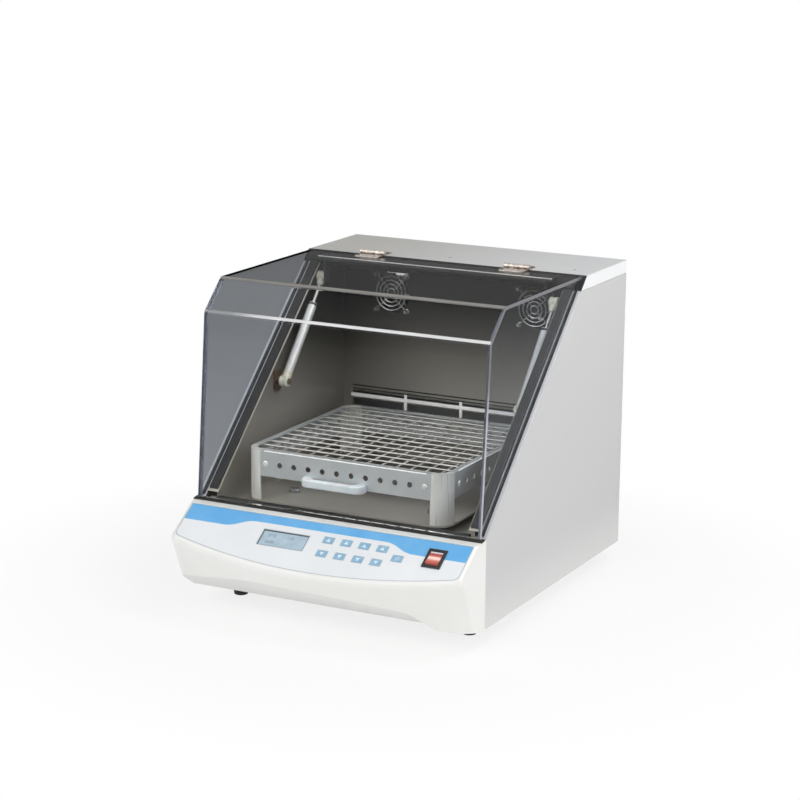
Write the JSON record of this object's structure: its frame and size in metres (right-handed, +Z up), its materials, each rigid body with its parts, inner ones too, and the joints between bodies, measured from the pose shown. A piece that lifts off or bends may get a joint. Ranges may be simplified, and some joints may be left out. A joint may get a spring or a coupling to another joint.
{
  "type": "incubated benchtop shaker",
  "caption": "Benchtop incubator with a sloping front, a clear hinged lid on gas struts, a white control console and an orbiting tray of bars for flasks.",
  "frame": {"origin": "middle of the footprint, on the plane that the feet stand on", "axes": "+X to the user's right, +Y to the back, +Z up"},
  "size_m": [0.45, 0.5708, 0.4625],
  "materials": {
    "panel_paint": "fine satin powder coat, warm light grey",
    "base_steel": "satin",
    "cover_steel": "satin brushed",
    "liner_steel": "brushed",
    "seal_rubber": "matt black",
    "foot_rubber": "matt black",
    "screw_steel": "bright",
    "smoked_acrylic": "clear, lightly smoked, polished edges",
    "black_bar": "satin black",
    "hinge_steel": "polished",
    "bracket_metal": "dull bronze",
    "bracket_black": "satin black",
    "strut_steel": "bright",
    "console_plastic": "semi-gloss white",
    "overlay_film": "printed film, white with a blue band",
    "display_glass": "grey-green display window",
    "switch_black": "black moulding",
    "rocker_red": "translucent red",
    "key_blue": "printed blue",
    "fan_plastic": "black",
    "guard_wire": "dark wire",
    "heater_sheath": "dull",
    "probe_plastic": "pale",
    "board_green": "circuit board",
    "supply_case": "satin",
    "inlet_plastic": "black",
    "frame_casting": "painted grey",
    "crank_metal": "machined",
    "idler_steel": "ground",
    "motor_paint": "black",
    "belt_rubber": "black",
    "carrier_aluminium": "plain",
    "tray_aluminium": "satin anodised",
    "handle_plastic": "white, slightly translucent",
    "thumb_steel": "plain"
  },
  "bodies": {
    "cabinet": {"base_pan": "base_steel", "side_panel_right": "panel_paint", "side_panel_left": "panel_paint", "top_cover": "cover_steel", "back_panel": "panel_paint", "rubber_feet": "foot_rubber", "chamber_liner": "liner_steel", "chamber_floor": "liner_steel", "seal_frame": "liner_steel", "lid_gasket": "seal_rubber", "cabinet_screws": "screw_steel", "hinge_fixed_leaves": "hinge_steel", "strut_brackets_lower": "bracket_metal", "console_shell": "console_plastic", "control_overlay": "overlay_film", "lcd_module": "display_glass", "switch_housing": "switch_black", "fan_frames": "fan_plastic", "fan_guards": "guard_wire", "heater_element": "heater_sheath", "temperature_probe": "probe_plastic", "control_board": "board_green", "power_supply": "supply_case", "power_inlet": "inlet_plastic", "drive_frame": "frame_casting", "motor_body": "motor_paint", "drive_belt": "belt_rubber"},
    "lid": {"lid_shell": "smoked_acrylic", "lid_side_panes": "smoked_acrylic", "lid_mounting_strip": "black_bar", "hinge_moving_leaves": "hinge_steel", "strut_brackets_upper": "bracket_black"},
    "strut_cylinder_left": {"strut_cylinder_left": "strut_steel"},
    "strut_cylinder_right": {"strut_cylinder_right": "strut_steel"},
    "strut_rod_left": {"strut_rod_left": "strut_steel"},
    "strut_rod_right": {"strut_rod_right": "strut_steel"},
    "rocker": {"rocker": "rocker_red"},
    "fan_rotor_left": {"fan_rotor_left": "fan_plastic"},
    "fan_rotor_right": {"fan_rotor_right": "fan_plastic"},
    "drive_crank": {"drive_crank": "crank_metal"},
    "motor_pulley": {"motor_pulley": "crank_metal"},
    "platform": {"platform_carrier": "carrier_aluminium", "tray_base": "tray_aluminium", "tray_corner_posts": "tray_aluminium", "tray_bands": "tray_aluminium", "tray_rods": "tray_aluminium", "tray_handle": "handle_plastic", "tray_screws": "thumb_steel"},
    "idler_crank_1": {"idler_crank_1": "idler_steel"},
    "idler_crank_2": {"idler_crank_2": "idler_steel"},
    "idler_crank_3": {"idler_crank_3": "idler_steel"},
    "key_temperature_up": {"key_temperature_up": "key_blue"},
    "key_speed_up": {"key_speed_up": "key_blue"},
    "key_hours_up": {"key_hours_up": "key_blue"},
    "key_minutes_up": {"key_minutes_up": "key_blue"},
    "key_temperature_down": {"key_temperature_down": "key_blue"},
    "key_speed_down": {"key_speed_down": "key_blue"},
    "key_hours_down": {"key_hours_down": "key_blue"},
    "key_minutes_down": {"key_minutes_down": "key_blue"},
    "key_run": {"key_run": "key_blue"}
  },
  "joints": [
    {"name": "lid_hinge", "type": "hinge", "parent": "cabinet", "child": "lid", "pos_m": [0, 0.13311, 0.459], "axis": [-1, 0, 0], "range_deg": [0, 60]},
    {"name": "strut_foot_left", "type": "hinge", "parent": "cabinet", "child": "strut_cylinder_left", "pos_m": [-0.186, -0.00589, 0.284], "axis": [1, 0, 0], "range_deg": [0, 15]},
    {"name": "strut_head_left", "type": "hinge", "parent": "lid", "child": "strut_rod_left", "pos_m": [-0.186, 0.10561, 0.4175], "axis": [1, 0, 0], "range_deg": [0, 75]},
    {"name": "strut_foot_right", "type": "hinge", "parent": "cabinet", "child": "strut_cylinder_right", "pos_m": [0.186, -0.00589, 0.284], "axis": [1, 0, 0], "range_deg": [0, 15]},
    {"name": "strut_head_right", "type": "hinge", "parent": "lid", "child": "strut_rod_right", "pos_m": [0.186, 0.10561, 0.4175], "axis": [1, 0, 0], "range_deg": [0, 75]},
    {"name": "drive_spin", "type": "hinge", "parent": "cabinet", "child": "drive_crank", "pos_m": [0, 0.00211, 0.085], "axis": [0, 0, 1], "continuous": true},
    {"name": "platform_pivot", "type": "hinge", "parent": "drive_crank", "child": "platform", "pos_m": [-0.01, 0.00211, 0.105], "axis": [0, 0, 1], "continuous": true},
    {"name": "idler_spin_1", "type": "hinge", "parent": "cabinet", "child": "idler_crank_1", "pos_m": [0.10825, 0.06461, 0.08], "axis": [0, 0, 1], "continuous": true},
    {"name": "idler_spin_2", "type": "hinge", "parent": "cabinet", "child": "idler_crank_2", "pos_m": [-0.10825, 0.06461, 0.08], "axis": [0, 0, 1], "continuous": true},
    {"name": "idler_spin_3", "type": "hinge", "parent": "cabinet", "child": "idler_crank_3", "pos_m": [0, -0.12289, 0.08], "axis": [0, 0, 1], "continuous": true},
    {"name": "motor_spin", "type": "hinge", "parent": "cabinet", "child": "motor_pulley", "pos_m": [0, 0.15211, 0.085], "axis": [0, 0, 1], "continuous": true},
    {"name": "fan_spin_left", "type": "hinge", "parent": "cabinet", "child": "fan_rotor_left", "pos_m": [-0.117, 0.20611, 0.385], "axis": [0, 1, 0], "continuous": true},
    {"name": "fan_spin_right", "type": "hinge", "parent": "cabinet", "child": "fan_rotor_right", "pos_m": [0.117, 0.20611, 0.385], "axis": [0, 1, 0], "continuous": true},
    {"name": "rocker_tilt", "type": "hinge", "parent": "cabinet", "child": "rocker", "pos_m": [0.1725, -0.23376, 0.12842], "axis": [1, 0, 0], "range_deg": [0, 13]},
    {"name": "key_temperature_up_press", "type": "slide", "parent": "cabinet", "child": "key_temperature_up", "axis": [0, 0.5592, -0.829], "range_m": [0, 0.0005], "stiffness_N_per_m": 800},
    {"name": "key_speed_up_press", "type": "slide", "parent": "cabinet", "child": "key_speed_up", "axis": [0, 0.5592, -0.829], "range_m": [0, 0.0005], "stiffness_N_per_m": 800},
    {"name": "key_hours_up_press", "type": "slide", "parent": "cabinet", "child": "key_hours_up", "axis": [0, 0.5592, -0.829], "range_m": [0, 0.0005], "stiffness_N_per_m": 800},
    {"name": "key_minutes_up_press", "type": "slide", "parent": "cabinet", "child": "key_minutes_up", "axis": [0, 0.5592, -0.829], "range_m": [0, 0.0005], "stiffness_N_per_m": 800},
    {"name": "key_temperature_down_press", "type": "slide", "parent": "cabinet", "child": "key_temperature_down", "axis": [0, 0.5592, -0.829], "range_m": [0, 0.0005], "stiffness_N_per_m": 800},
    {"name": "key_speed_down_press", "type": "slide", "parent": "cabinet", "child": "key_speed_down", "axis": [0, 0.5592, -0.829], "range_m": [0, 0.0005], "stiffness_N_per_m": 800},
    {"name": "key_hours_down_press", "type": "slide", "parent": "cabinet", "child": "key_hours_down", "axis": [0, 0.5592, -0.829], "range_m": [0, 0.0005], "stiffness_N_per_m": 800},
    {"name": "key_minutes_down_press", "type": "slide", "parent": "cabinet", "child": "key_minutes_down", "axis": [0, 0.5592, -0.829], "range_m": [0, 0.0005], "stiffness_N_per_m": 800},
    {"name": "key_run_press", "type": "slide", "parent": "cabinet", "child": "key_run", "axis": [0, 0.5592, -0.829], "range_m": [0, 0.0005], "stiffness_N_per_m": 800}
  ],
  "couplings": [
    {"joint": "strut_foot_left", "follows": "lid_hinge", "ratio": 0.2365},
    {"joint": "strut_head_left", "follows": "lid_hinge", "ratio": 1.2365},
    {"joint": "strut_foot_right", "follows": "lid_hinge", "ratio": 0.2365},
    {"joint": "strut_head_right", "follows": "lid_hinge", "ratio": 1.2365},
    {"joint": "platform_pivot", "follows": "drive_spin", "ratio": -1},
    {"joint": "idler_spin_1", "follows": "drive_spin", "ratio": 1},
    {"joint": "idler_spin_2", "follows": "drive_spin", "ratio": 1},
    {"joint": "idler_spin_3", "follows": "drive_spin", "ratio": 1},
    {"joint": "motor_spin", "follows": "drive_spin", "ratio": 3.795}
  ]
}
